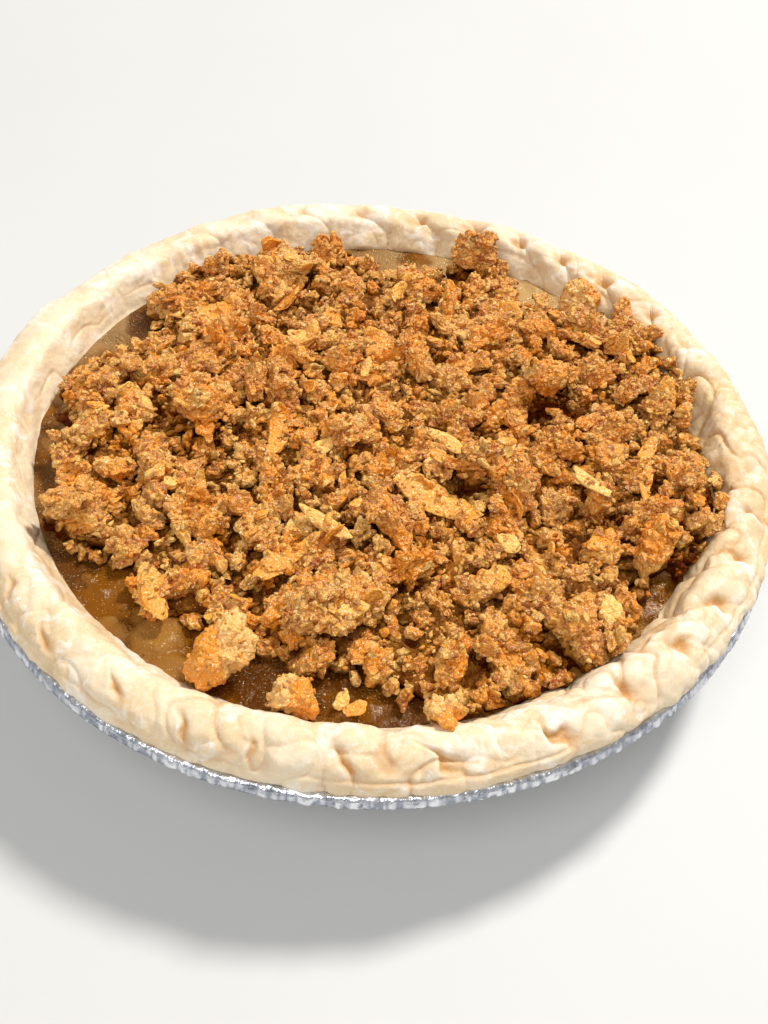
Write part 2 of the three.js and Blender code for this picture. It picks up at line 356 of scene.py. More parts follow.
# Baked crumb: Dark to Middle by noise plus each cell's own value, to Pale by Tone and to Toasted by Toast
# plus broad noise, times a painted shade of brown where the mesh's shade mask is low: in creases, under bits
# and deep in the heap's gaps. On it lie pale sugary grains by fine noise, which are also painted highlights
# kept to the unshaded parts, painted glints by very fine noise, and specks by distance to cell seeds. Its
# height is noise less the distance to small cell seeds.
def makeCrumbGroup():
    tree = bpy.data.node_groups.new("bakedCrumb", "ShaderNodeTree")
    tints = {
        "Dark": colour(180, 86, 8),
        "Middle": colour(230, 148, 28),
        "Pale": colour(254, 210, 114),
        "Toasted": colour(244, 150, 10),
    }
    for name, tint in tints.items():
        tree.interface.new_socket(name, in_out="INPUT", socket_type="NodeSocketColor").default_value = tint
    for name, number in {"Tone": 0.5, "Toast": 0.3, "Knob": 0.5, "Grain": 900.0}.items():
        tree.interface.new_socket(name, in_out="INPUT", socket_type="NodeSocketFloat").default_value = number
    tree.interface.new_socket("Color", in_out="OUTPUT", socket_type="NodeSocketColor")
    for name in ("Height", "Roughness", "Shine"):
        tree.interface.new_socket(name, in_out="OUTPUT", socket_type="NodeSocketFloat")
    shader = Shader(tree)
    given = shader.add("NodeGroupInput").outputs
    knob = given["Knob"]
    place = shader.place()
    broad = shader.noise(place, 70.0, 2.0)
    mottle = shader.noise(place, 330.0, 2.0, 0.7)
    fine = shader.noise(place, given["Grain"], 2.0, 0.65)
    crumbs = shader.cells(place, 1050.0)
    mixed = shader.sumOf(crumbs.node.outputs["Color"], 0.4, mottle)
    base = shader.blend(shader.spread(mixed, 0.52, 0.86), given["Dark"], given["Middle"])
    base = shader.blend(shader.times(given["Tone"], 0.8), base, given["Pale"])
    toasted = shader.maths("ADD", given["Toast"], shader.sumOf(broad, 2.0, -1.0))
    browned = shader.spread(toasted, 0.3, 1.0)
    base = shader.blend(shader.times(browned, 0.85), base, given["Toasted"])
    # painted shade: brown multiplied in where the mesh's shade mask is low
    shade = shader.blend(shader.spread(knob, 0.0, 0.8), colour(86, 44, 18), colour(255, 255, 255))
    base = shader.blend(1.0, base, shade, "MULTIPLY")
    # pale sugary grains, also a painted highlight: only on unshaded parts, less on toasted ones
    sugarAndHighlight = shader.times(shader.spread(fine, 0.52, 0.66), shader.spread(knob, 0.1, 0.7))
    sugarAndHighlight = shader.times(sugarAndHighlight, shader.spread(browned, 0.0, 1.0, 0.48, 0.18))
    base = shader.blend(sugarAndHighlight, base, colour(255, 225, 142))
    # painted glints: near-white specks by very fine noise on unshaded parts
    paintedGlints = shader.spread(shader.noise(place, 2500.0, 0.0), 0.66, 0.78, 0.0, 0.75)
    paintedGlints = shader.times(paintedGlints, shader.spread(knob, 0.3, 0.8))
    base = shader.blend(paintedGlints, base, colour(255, 240, 205))
    speck = shader.spread(shader.cells(place, 420.0), 0.16, 0.09)
    base = shader.blend(shader.times(speck, 0.35), base, colour(96, 44, 12))
    results = {
        "Color": base,
        "Height": shader.sumOf(crumbs, -0.9, shader.sumOf(mottle, 1.6, fine)),
        "Roughness": shader.spread(fine, 0.42, 0.6, 0.6, 0.22),
        "Shine": shader.spread(knob, 0.2, 0.8, 0.05, 0.65),
    }
    shader.add("NodeGroupOutput", results)
    return tree


crumbGroup = makeCrumbGroup()


# A material around the group, with tone, toast and the mask for painted shade from the mesh, and its height
# as bump.
def makeCrumbMaterial(name, grain, depth, **tints):
    shader = Surface(name)
    given = {look.capitalize(): shader.attribute(look) for look in ("tone", "toast", "knob")}
    out = shader.add("ShaderNodeGroup", {"Grain": grain, **given, **tints}, node_tree=crumbGroup).outputs
    return shader.finish({
        "Base Color": out["Color"],
        "Roughness": out["Roughness"],
        "Specular IOR Level": out["Shine"],
        "Normal": shader.bump(out["Height"], depth),
        **seeThrough(0.2, 1.2, 0.9, 0.4),
    })


# Foil tin

tin = {
    "rim": 111.0,
    "height": 33.0,
    "baseRadius": 83.0,
    "wallTop": 100.5,
    "foil": 0.35,
    "hub": 6.0,  # radius of the innermost points
    "stations": 1260,
    "pleats": 150,  # pressed folds round the wall
    "pleatDepth": 0.35,
    "crinkle": 0.24,  # unevenness of the rolled edge
    # rolled edge, from under the flange round to its top: millimetres in from the rim and down from the top
    "bead": [
        (2.8, 0.35), (2.4, 1.4), (1.7, 2.5), (0.9, 2.8), (0.5, 2.5), (0.7, 1.7), (1.0, 0.9), (1.5, 0.2),
        (2.1, 0),
    ],
}


# Foil: pale metal, greyer by painted shade in its folds and by broad noise, with fine noise as roughness and
# as bump.
def makeFoilMaterial():
    shader = Surface("pressedFoil")
    place = shader.place()
    scratch = shader.noise(place, 240.0, 4.0, 0.6)
    broad = shader.noise(place, 70.0, 2.0)
    tint = shader.blend(shader.spread(broad, 0.3, 0.7), colour(222, 226, 234), colour(246, 248, 252))
    return shader.finish({
        "Metallic": 1.0,
        "Base Color": shader.blend(shader.attribute("fold"), tint, colour(150, 156, 170)),
        "Roughness": shader.spread(scratch, 0.3, 0.7, 0.18, 0.38),
        "Normal": shader.bump(shader.noise(place, 420.0, 3.0, 0.6), 0.7 * mm, 0.9),
    })


# Tin: a thin shell turned round Z, its wall pushed in and out by narrow pleats and its rolled edge by noise.
def makeTin():
    s = tin
    rim, height, base, wallTop = s["rim"], s["height"], s["baseRadius"], s["wallTop"]
    foil, hub = s["foil"], s["hub"]
    wallOut = np.linspace([base, 0], [wallTop + foil, height - foil], 26)[1:-1]
    bead = np.array([rim, height]) - s["bead"]
    flange = np.linspace([rim - 2.4, height], [wallTop, height], 8)
    wallIn = np.linspace([wallTop, height], [base - 0.3, foil], 12)[1:]
    under = np.linspace([hub, 0], [base, 0], 8)
    inside = np.linspace([base - 0.3, foil], [hub, foil], 6)[1:]
    beadStart = [(wallTop + foil, height - foil), (rim - 3.6, height - foil)]
    beadCurve, _ = smoothCurve(np.concatenate([beadStart, bead]), 34)
    profile = np.concatenate([under, wallOut, beadCurve, flange, wallIn, inside])
    rows, columns = s["stations"], len(profile)
    angle = azimuths(rows)
    radius = np.repeat(profile[None, :, 0], rows, 0)
    level = np.repeat(profile[None, :, 1], rows, 0)
    onWall = ramp(level, 3, 9) * (1 - ramp(level, height - 4, height - 1)) * (radius < wallTop + 1)
    wander = softNoise(polarPoints(angle, 1, 0), 0.08, 3)[:, None]
    pleat = np.abs(np.sin(angle * s["pleats"] / 2 + wander * 1.5)) ** 0.6
    onBead = ramp(radius, rim - 3.2, rim - 0.4)
    crinkle = layeredNoise(polarPoints(angle, radius, level * 1.5), 2.6, 11, 3).reshape(rows, columns)
    upright = np.stack([rim * angle + 0.15 * level, 0.25 * level, 0 * level], -1).reshape(-1, 3)
    fine = np.abs(layeredNoise(upright, 1.7, 29, 2)).reshape(rows, columns) * 2.4
    radius += onWall * s["pleatDepth"] * (pleat - 0.6)
    radius += onBead * s["crinkle"] * (crinkle + fine - 0.6)
    level += onBead * s["crinkle"] * np.roll(crinkle, 3, 0)
    # painted shade in the folds of the rolled edge, where the fine crinkle is low
    fold = onBead * (1 - ramp(fine, 0.1, 1.0))
    addTurned("foilTin", "tin", makeFoilMaterial(), radius, level, (0, foil), fold=fold)


# Crust, thickest at the crimps

crust = {
    "stations": 1440,
    # azimuth of each crimp's thumb mark
    "crimps": [
        4, 14, 24, 34, 46, 55, 64, 73, 84, 95, 106, 117, 128, 140, 152, 164, 176, 188, 200, 209, 218, 228,
        240, 250, 259, 270, 281, 296, 307, 318, 327, 337, 346, 355,
    ],
    # look of the crimps at some azimuths: lobe height, mark depth, its turn in degrees, half length, half
    # width and millimetres in from the crest
    "styles": [
        (0, 0.35, 0.6, 70, 3.2, 1.2, -1.0),
        (20, 0.35, 0.6, 75, 3.2, 1.4, 0.0),
        (34, 1.1, 2.5, 75, 3.0, 2.3, 1.4),
        (73, 1.1, 2.5, 75, 3.0, 2.3, 1.4),
        (100, 0.7, 0.9, 60, 3.0, 2.4, 1.0),
        (150, 0.2, 0.0, 40, 3.0, 1.6, -3.5),
        (205, 0.15, 0.6, 8, 4.0, 0.5, -5.0),
        (235, 0.2, 0.8, 20, 4.2, 0.5, -5.5),
        (250, 0.2, 0.9, 44, 4.4, 0.5, -6.0),
        (285, 0.2, 1.3, 42, 4.8, 0.55, -6.0),
        (312, 1.1, 1.9, 78, 4.2, 1.1, -2.6),
        (335, 1.1, 1.4, 78, 4.0, 1.1, -2.6),
        (348, 1.0, 1.3, 78, 4.0, 1.0, -2.4),
    ],
    "slant": 1.1,  # millimetres along the rim for each one inwards, at a crease between two lobes
    "section": [
        (108.2, 33.4), (109.2, 34.7), (108.9, 37.0), (107.0, 39.6), (103.9, 41.5), (100.4, 42.2),
        (97.0, 41.2), (94.9, 38.4), (93.0, 35.6), (91.4, 32.6),
    ],
    # the parts that aren't seen: from the bottom up to the section, and from the section down the inside
    "outside": [(6, 0.95), (40, 0.95), (81.4, 0.95), (91, 16.6), (99.9, 32.6), (100.3, 33.3), (104, 33.35)],
    "inside": [(88, 24), (83, 14), (78, 4.6), (40, 4.6), (6, 4.6)],
    "lobe": 1.5,  # relief in millimetres, of each kind
    "folds": 1.1,
    "wrinkles": 0.85,
    "broad": 0.8,
    "fine": 0.45,
    "widest": 110.4,
    "ring": 101.0,  # radius on which lengths along the rim are measured
}


# Pale crust: cream by broad noise, to tan at the right and down the inner wall, partly baking colour and
# partly painted shade, and to a painted tan shade in marks and creases. Floury white lies where fine and
# middle noise meet, on ridges as flour and painted highlight, and as dust. Its height is both noises plus
# the distance to cell seeds.
def makeCrustMaterial():
    shader = Surface("paleCrust")
    place = shader.place()
    broad = shader.noise(place, 45.0, 4.0, 0.6)
    patch = shader.noise(place, 130.0, 5.0, 0.65, 0.6)
    fine = shader.noise(place, 700.0, 4.0, 0.65)
    base = shader.blend(shader.spread(broad, 0.4, 0.6), colour(242, 223, 192), colour(233, 205, 162))
    bakedAndShaded = shader.attribute("bakedAndShaded")
    # tan at the right and down the inner wall, partly baking colour and partly painted shade
    base = shader.blend(bakedAndShaded, base, colour(216, 184, 128))
    uneven = shader.spread(fine, 0.36, 0.6, 0.45, 1.0)
    flouryAndHighlit = shader.times(shader.spread(patch, 0.5, 0.62), uneven)
    flouryAndHighlit = shader.times(flouryAndHighlit, shader.spread(bakedAndShaded, 0.0, 1.0, 0.75, 0.25))
    # flour and painted highlight on the ridges beside the thumb marks
    flouryAndHighlit = shader.maths("ADD", flouryAndHighlit, shader.attribute("flourAndHighlight"), clamp=True)
    dusty = shader.spread(shader.noise(place, 1100.0, 2.0, 0.7), 0.5, 0.62, 0.0, 0.22)
    flouryAndHighlit = shader.maths("MAXIMUM", flouryAndHighlit, dusty)
    base = shader.blend(flouryAndHighlit, base, colour(252, 246, 236))
    # painted tan shade in the marks, notches, creases, folds and wrinkles
    tan = shader.times(shader.attribute("creaseShade"), shader.spread(fine, 0.3, 0.6, 0.7, 1.0))
    creases = shader.cells(place, 150.0, "SMOOTH_F1")
    lift = shader.sumOf(fine, 0.35, shader.sumOf(creases, 0.5, patch))
    return shader.finish({
        "Base Color": shader.blend(tan, base, colour(205, 152, 88)),
        "Roughness": shader.spread(patch, 0.4, 0.6, 0.42, 0.66),
        "Specular IOR Level": 0.4,
        "Normal": shader.bump(lift, 0.6 * mm, 0.6),
        **seeThrough(0.2, 1.5, 1.25, 0.9),
    })


# Crust: a smooth section turned round Z and pushed along its normals. Between two thumb marks it swells in a
# lobe 1 - |2s|^2.6 of the share s of the way, and each mark is a groove, steep on one side and soft on the
# other. Creases are thin furrows along the zero lines of noise, and broad and fine noise bend all of it.
def makeCrust():
    s = crust
    section, places = smoothCurve(s["section"], 84)
    normals = profileNormals(section)
    crestPlace = places[np.argmax(section[:, 1])]
    rows = s["stations"]
    angle = azimuths(rows)
    across = (places - crestPlace)[None, :]  # millimetres in from the crest
    out, up = section.T[:, None]
    ring = polarPoints(angle, s["ring"], 0)
    spots = polarPoints(angle, out, up)

    def over(values):
        return values.reshape(rows, -1)

    # crimps, numbered by the marks, each with its own look
    marks = np.array(s["crimps"], float)
    crimps = len(marks)
    styles = np.array(s["styles"], float).T
    at = marks, styles[0]
    lobeHeight, depth, lean, length, width, inwards = (np.interp(*at, row, period=360) for row in styles[1:])
    random = np.random.default_rng(12)
    depth = depth * (0.75 + 0.5 * random.random(crimps))
    lean = np.radians(lean + random.normal(0, 7, crimps))
    inwards = inwards + random.normal(0, 0.5, crimps)
    bent = over(softNoise(spots, 9, 8))
    jagged = 1.9 * over(softNoise(spots, 3.2, 9))
    inwardsAt = np.interp(np.degrees(angle), styles[0], styles[6], period=360)
    markAngles = [*(marks[-1:] - 360), *marks, 360 + marks[0]]
    count = np.interp(np.degrees(angle), markAngles, np.arange(-1, crimps + 1))
    spacing = turn * s["ring"] / crimps
    leaning = s["slant"] * np.clip(across - inwardsAt, -5, 7) / spacing
    phase = count + leaning + 0.09 * bent
    share = phase - np.floor(phase) - 0.5
    left = np.floor(phase).astype(int) % crimps
    own = random.random((crimps, 2))[left]
    size = lobeHeight[left] * (0.75 + 0.5 * own[..., 0])
    swell = 1 - np.abs(2 * share + 0.25 * (own[..., 1] - 0.5) * (1 - 4 * share**2)) ** 2.6
    reach = 0.35 + 0.65 * ramp(across, -7, 0)
    height = s["lobe"] * size * reach * (swell - 0.65)
    notch = bell(np.abs(share) - 0.5, 0.022) * ramp(across, -4, 0) * np.clip(size, 0, 1)
    height -= 0.35 * notch
    hollow, ridge, markShade = np.zeros((3, *height.shape))
    for nearby in (-1, 0, 1):
        k = np.round(count).astype(int) + nearby
        along = (count - k) * spacing + 0.8 * bent
        k = k % crimps
        inward = across - inwards[k]
        p = along * np.cos(lean[k]) - inward * np.sin(lean[k])
        q = along * np.sin(lean[k]) + inward * np.cos(lean[k]) - 0.02 * p * p + jagged
        wide = width[k] * np.clip(1 + 0.12 * p, 0.6, 1.6)
        shape = bell(p, length[k] * 0.62) * bell(q, np.where(q > 0, 1.6 * wide, 0.75 * wide))
        hollow = np.maximum(hollow, depth[k] * shape)
        # painted shade in each thumb mark, stronger in narrow ones
        markShade = np.maximum(markShade, depth[k] * shape / (0.6 + 0.5 * width[k]))
        beside = bell(p, length[k] * 0.6) * bell(q + 2.2 * wide, 0.9 * wide)
        ridge = np.maximum(ridge, np.clip(depth[k], 0, 1) * beside)
    height = height - hollow + 0.1 * ridge
    # thin creases and a low step just over the foil
    warp = drift(spots, 7, 13)
    lumpy = 0.35 + 0.65 * bell(apart(angle, 300), 60) + 0.5 * bell(apart(angle, 8), 18)
    folds = over(np.abs(softNoise(spots + 2.5 * warp, 11, 16)))
    lines = bell(folds, 0.045) * over(ramp(softNoise(spots, 15, 17), -0.4, 0.2)) * lumpy
    wrinkled = over(np.abs(softNoise(spots + 1.5 * warp, 5, 18)))
    height += lumpy * (s["folds"] * (folds**0.7 - 0.4) + s["wrinkles"] * (wrinkled**0.7 - 0.4))
    wave = 1.3 * softNoise(ring, 16, 41)[:, None] + 0.6 * softNoise(ring, 5, 42)[:, None]
    ply = across + 8.6 + wave
    plyShows = ramp(softNoise(ring, 30, 43), -0.35, 0.1)[:, None] * ramp(np.abs(apart(angle, 150)), 50, 80)
    fold = bell(ply, 0.3) * plyShows
    height = height - 0.5 * lines + 0.45 * plyShows * (1 - ramp(ply, -0.4, 0.4)) - 0.4 * fold
    height += s["broad"] * over(layeredNoise(spots, 20, 21, 3))
    height += s["fine"] * over(layeredNoise(spots, 4, 31, 3))
    # thin radial wrinkles on the inner wall at the back
    wrinkleWindow = ramp(across, 1, 5) * (bell(apart(angle, 137), 12) + 0.8 * bell(apart(angle, 97), 14))
    wrinkles = np.abs(softNoise(ring, 2.4, 51))[:, None]
    height += wrinkleWindow * 0.55 * (wrinkles - 0.35)
    outerEnd, innerEnd = across.min(), across.max()
    fade = ramp(across, outerEnd, outerEnd + 2.5) * (1 - ramp(across, innerEnd - 1.5, innerEnd))
    height *= fade
    radius = out + normals[:, 0] * height
    level = up + normals[:, 1] * height
    wander = 0.5 * np.sin(3 * angle + 1) + 0.4 * np.sin(7 * angle)
    level += wander * ramp(up, 34, 41)
    step = ramp(apart(angle, 155.5), -0.6, 0.6) * (1 - ramp(apart(angle, 155.5), 8, 40))
    radius += 1.1 * step * ramp(-across, 2, 8) * fade
    radius = np.minimum(radius, s["widest"])
    # mask for painted tan shade: in marks, notches, thin creases, the fold over the foil and wrinkles
    creaseShade = 0.9 * markShade + 0.3 * notch + 0.55 * lines + 0.4 * fold + 0.25 * bell(wrinkled, 0.05) * lumpy
    # tan at the right, partly baking colour and partly painted shade on that side, most off the crest, and
    # down the inner wall
    bakedAndShaded = 0.55 * bell(apart(angle, 4), 32) * (0.75 + 0.25 * ramp(np.abs(across + 1), 0, 6))
    looks = {
        "creaseShade": np.clip(creaseShade, 0, 1),
        # flour and painted highlight on the ridges beside the thumb marks
        "flourAndHighlight": 0.5 * ridge * ramp(over(softNoise(spots, 3, 61)), -0.4, 0.4),
        "bakedAndShaded": np.clip(bakedAndShaded + 0.25 * ramp(across, 3, 9), 0, 1),
    }
    before, after = s["outside"], s["inside"]
    poles = before[0][1], after[-1][1]
    addTurned("crimpedCrust", "crust", makeCrustMaterial(), radius, level, poles, before, after, **looks)


# Apple filling

filling = {
    "level": 34.6,
    "rows": 600,
    "lump": 2.6,  # height of the apple lumps
    "lumpSize": 12.0,
    "inset": 1.7,  # how far the surface between lumps lies under the level
    "outside": [(6, 5.4), (40, 5.4), (77.2, 5.4), (84, 18), (90, 30)],  # not seen, from the bottom up
    # apple lumps seen best: azimuth, radius, half width, share of the height
    "apples": [
        (230, 91, 5.5, 0.9), (236, 85, 5.5, 1.0), (231, 83, 3.5, 0.5), (243, 93, 5.0, 0.8),
        (219, 87, 4.0, 0.6), (223, 86, 3.5, 0.4), (240, 91, 4.0, 0.6), (236, 94, 3.5, 0.4),
        (247, 96, 3.5, 0.5), (227, 85, 3.0, 0.3), (264, 84, 4.5, 0.6), (269, 80, 4.5, 0.7),
        (269, 89, 3.5, 0.6), (273, 86, 3.5, 0.4), (290, 89, 3.5, 0.5), (293, 87, 3.0, 0.5),
    ],
}


# Apple filling: brown to amber by broad noise, to pale apple by lump and to a creamy skin by film, with
# specks in patches and glints by very fine noise. It is wet, with a warm shine, rougher by fine noise and
# broken up by its height: both noises less the distance to small cell seeds.
def makeFillingMaterial():
    shader = Surface("appleFilling")
    place = shader.place()
    broad = shader.noise(place, 70.0, 4.0, 0.6)
    fine = shader.noise(place, 900.0, 3.0, 0.7)
    base = shader.blend(shader.spread(broad, 0.38, 0.62), colour(84, 43, 2), colour(122, 72, 6))
    cloudy = shader.times(shader.attribute("lump"), shader.spread(broad, 0.35, 0.6, 0.35, 1.0))
    base = shader.blend(shader.spread(cloudy, 0.1, 1.0), base, colour(152, 106, 46))
    base = shader.blend(shader.attribute("film"), base, colour(202, 166, 110))
    speck = shader.spread(shader.cells(place, 560.0), 0.24, 0.12)
    speckPatch = shader.spread(shader.noise(place, 120.0, 2.0), 0.45, 0.6)
    speck = shader.times(speck, speckPatch)
    base = shader.blend(shader.times(speck, 0.8), base, colour(64, 26, 8))
    glint = shader.spread(shader.noise(place, 2400.0, 1.0), 0.67, 0.76, 0.0, 0.6)
    beads = shader.times(shader.cells(place, 1300.0), speckPatch)
    ripples = shader.sumOf(beads, -1.4, shader.sumOf(fine, 0.7, broad))
    return shader.finish({
        "Base Color": shader.blend(glint, base, colour(244, 206, 150)),
        "Roughness": shader.spread(fine, 0.4, 0.6, 0.08, 0.24),
        "Specular IOR Level": 0.22,
        "Specular Tint": (1.0, 0.88, 0.66, 1.0),
        "Normal": shader.bump(ripples, 0.32 * mm),
        **seeThrough(0.06, 1.3, 1.0, 0.4),
    })


# Filling: a disc raised in soft lumps, from a list where it is seen best and elsewhere each the rounded top
# of a cell, with fine ripples on them.
def makeFilling():
    s = filling
    rows = s["rows"]
    rings = np.concatenate([np.linspace(92.2, 60, 70), np.linspace(58, 6, 12)])
    angle = azimuths(rows)
    spots = polarPoints(angle, rings[None], 0)
    warp = 4 * drift(spots, 20, 61)
    nearest, second, owner = cellNoise(spots + warp, s["lumpSize"], 71)
    lump = 0.8 * ramp(second - nearest, 0.0, 0.5) * ramp(owner, 0.35, 0.5)
    seenBest = bell(apart(angle, 252), 34) > 0.4
    apples = np.zeros(len(spots))
    for azimuth, out, wide, share in s["apples"]:
        x, y = onPlan(azimuth, out)
        off = np.hypot(spots[:, 0] - x, spots[:, 1] - y) + 1.2 * warp[:, 0]
        apples = np.maximum(apples, share * (1 - ramp(off, 0.25 * wide, 1.2 * wide)))
    lump = np.where(np.repeat(seenBest, len(rings), 1).ravel(), apples, lump)
    ripple = 0.5 * layeredNoise(spots, 7, 81, 3) + 0.12 * layeredNoise(spots, 1.8, 91, 2)
    rise = (lump * s["lump"] + ripple).reshape(rows, -1)
    level = s["level"] - s["inset"] + rise * (1 - 0.7 * ramp(rings, 88, 92))[None]
    film = 0.8 * bell(apart(angle, 62), 22) + 0.35 * bell(apart(angle, 150), 30)
    film = film * ramp(layeredNoise(spots, 9, 95, 2), -0.4, 0.2).reshape(rows, -1)
    looks = {"lump": lump.reshape(rows, -1), "film": film}
    before = s["outside"]
    poles = before[0][1], s["level"]
    addTurned("appleFilling", "filling", makeFillingMaterial(), rings, level, poles, before, **looks)


# Streusel: a heap over its own core, with clumps, nuggets, grains and flakes, and a few crumbs that lie apart

heap = {
    "base": 34.9,
    "edge": 86.0,
    "edgeHeight": 0.8,
    "crown": 4.2,
    "lowest": 32.6,  # no crumb reaches below this
    # the crust's inner side, which no crumb crosses, and as the slope that clumps land on
    "wall": {"radius": 91.2, "foot": 34.2, "lean": 0.62, "crest": 42.4, "flare": 3, "rise": 9},
    "slope": {"from": 91.5, "to": 97, "foot": 34, "steepness": 1.35},
    "core": {"inset": 6, "rows": 560, "rings": 100, "foot": 33.2},
    "tries": 12,  # places compared for each clump
    "fall": {"through": 44, "from": 40},  # falling bits pass a place at this height, from so far up
    "above": 90,  # higher than all of it
    # bays and lobes of the outline: azimuth, width in degrees, reach in millimetres
    "outline": [
        (168, 8, 3), (151, 6, -7), (135, 7, 6), (120, 10, 5), (83, 10, -8), (67, 5, 6), (54, 6, -7),
        (34, 9, 10), (18, 8, 9), (352, 8, 9), (340, 8, 9), (308, 9, 8), (292, 5, 5), (283, 4, 8),
        (270, 7, -6), (248, 10, -8), (221, 4, -7), (206, 7, 4),
    ],
    "boulders": {"count": 38, "level": 5, "size": (6.4, 9.6), "lift": (-0.2, 0.3), "seed": 4},
    "clumps": {"count": 155, "level": 4, "size": (3.6, 6.8), "lift": (-0.2, 0.5), "seed": 5},
    "lumps": {"count": 600, "level": 3, "size": (1.9, 3.6), "lift": (-0.3, 0.5), "seed": 6},
    "nuggets": {"count": 1500, "level": 2, "size": (0.7, 1.6), "seed": 7},
    "grains": {"count": 5000, "level": 1, "size": (0.35, 0.9), "seed": 8},
    "chips": {"count": 60, "level": 4, "size": (1.7, 3.8), "thickness": (1.0, 1.6), "seed": 9},
    "oats": {"count": 100, "level": 3, "size": (1.0, 2.0), "thickness": (0.5, 0.8), "seed": 10},
}

# Chips that stand out: azimuth, radius, half width, length over width, turn in degrees, paleness and toast
standingChips = [
    (300, 33, 4.5, 2.0, -28, 0.3, 0.4), (252, 57, 2.6, 3.4, 38, 0.7, 0.7), (259, 43, 2.2, 3.4, -30, 0.8, 0.3),
    (340, 22, 2.1, 3.0, -30, 0.9, 0.2), (316, 22, 1.9, 2.0, 85, 1.0, 0.0), (311, 56, 2.4, 1.6, -10, 0.8, 0.6),
    (334, 39, 2.2, 1.3, 20, 1.0, 0.1), (336, 62, 1.5, 4.2, -35, 1.0, 0.1), (6, 67, 2.4, 2.2, 78, 0.6, 0.8),
    (347, 75, 1.9, 3.0, 80, 0.5, 0.9), (358, 76, 1.7, 3.2, 60, 0.4, 1.0), (327, 72, 2.6, 1.3, 40, 0.2, 1.0),
    (200, 26, 3.0, 2.2, 75, 0.5, 0.9), (226, 18, 2.4, 1.3, 30, 1.0, 0.0), (243, 25, 2.8, 1.6, -60, 0.1, 1.2),
    (270, 67, 2.2, 1.5, 15, 0.9, 0.3), (198, 79, 3.6, 1.4, 60, 0.5, 1.0), (141, 63, 4.2, 1.3, 20, 0.5, 0.9),
    (316, 85, 4.2, 1.8, 78, 1.0, 0.0), (269, 87, 1.7, 1.5, 60, 1.0, 0.0), (271, 88, 2.0, 1.2, 10, 0.3, 0.9),
]

looseCrumbs = [
    {"node": "crumb_front_left", "seed": 21, "toast": 1.1, "tone": 0.2, "paleSide": 10},
    {"node": "crumb_front", "seed": 22, "toast": 0.9, "tone": 0.3, "paleSide": 190},
    {"node": "crumb_back_right", "seed": 23, "toast": 0.7, "tone": 0.3, "paleSide": 250},
    {"node": "crumb_front_right", "seed": 24, "toast": 1.0, "tone": 0.3, "paleSide": 120},
]


# Radius of the heap's outline: a circle, two small waves, and a bell for each bay or lobe.
def heapEdge(angle):
    edge = heap["edge"] + 1.0 * np.sin(11 * angle) + 0.8 * np.sin(17 * angle + 2)
    for azimuth, width, reach in heap["outline"]:
        edge = edge + reach * bell(apart(angle, azimuth), width)
    return edge


# Height of the heap's core over the filling: crown * (1 - share^2.4)^0.6, steep at the edge and flat inside.
def coreRise(share):
    return heap["edgeHeight"] + heap["crown"] * np.clip(1 - share**2.4, 0, 1) ** 0.6


# A square height map of the heap, one millimetre a cell, that each new clump is pressed into as it lands.
class Pile:
    half = 112  # cells on each side of the middle

    def __init__(self, taken):  # the spots of the loose crumbs
        side = np.arange(-self.half, self.half + 1.0)
        self.x, self.y = np.meshgrid(side, side, indexing="ij")
        self.taken = taken
        angle = np.arctan2(self.y, self.x) % turn
        radius = np.hypot(self.x, self.y)
        share = radius / (heapEdge(angle) - heap["core"]["inset"])
        self.top = np.where(share < 1, heap["base"] + coreRise(np.minimum(share, 1)), heap["base"] - 0.6)
        slope = heap["slope"]
        along = np.clip(radius, slope["from"], slope["to"]) - slope["from"]
        wall = slope["foot"] + along * slope["steepness"]
        self.top = np.where(radius > slope["from"], np.maximum(self.top, wall), self.top)

    def support(self, x, y, reach):  # a height just over the middle one of the cells under its middle
        near = (self.x - x) ** 2 + (self.y - y) ** 2 < (0.6 * reach) ** 2 + 1
        return np.percentile(self.top[near], 55)

    def press(self, x, y, z, wide, tall):
        inside = 1 - ((self.x - x) ** 2 + (self.y - y) ** 2) / wide**2
        dome = z + tall * np.sqrt(np.clip(inside, 0, 1))
        self.top = np.where(inside > 0, np.maximum(self.top, dome), self.top)

    # The height map averaged over a square of 13 mm, twice, from which depth in the heap is measured.
    def settle(self):
        self.mean = self.top
        for axis in (0, 1, 0, 1):
            self.mean = sum(np.roll(self.mean, shift, axis) for shift in range(-6, 7)) / 13

    def cells(self, points):  # indices of the cell under each point
        return tuple(np.clip(np.round(points[:, :2]).astype(int) + self.half, 0, 2 * self.half).T)

    # how far a point is spared painted shade: least deep in the heap's gaps
    def openness(self, points):  # 1 over the averaged height, falling to 0.06 deep in a gap
        return 1 - 0.94 * ramp(self.mean[self.cells(points)] - points[:, 2], -0.8, 4.4)

    # Of some random places, the one furthest from the clumps of its kind and deepest in a gap, clear of the
    # loose crumbs.
    def nextPlace(self, random, size, placed):
        angle = random.random(heap["tries"]) * turn
        reach = np.sqrt(random.random(heap["tries"])) * (heapEdge(angle) - 0.7 * size)
        options = np.stack([reach * np.cos(angle), reach * np.sin(angle)], 1)
        others = np.array(placed + [(300, 0)])
        gap = np.linalg.norm(options[:, None] - others[None], axis=2).min(1)
        cell = self.cells(options)
        gap += 1.6 * np.clip(self.mean[cell] - self.top[cell], -1, 6)
        for x, y, wide in self.taken:
            gap -= 100 * (np.hypot(options[:, 0] - x, options[:, 1] - y) < wide + 0.7 * size)
        return options[np.argmax(gap)]


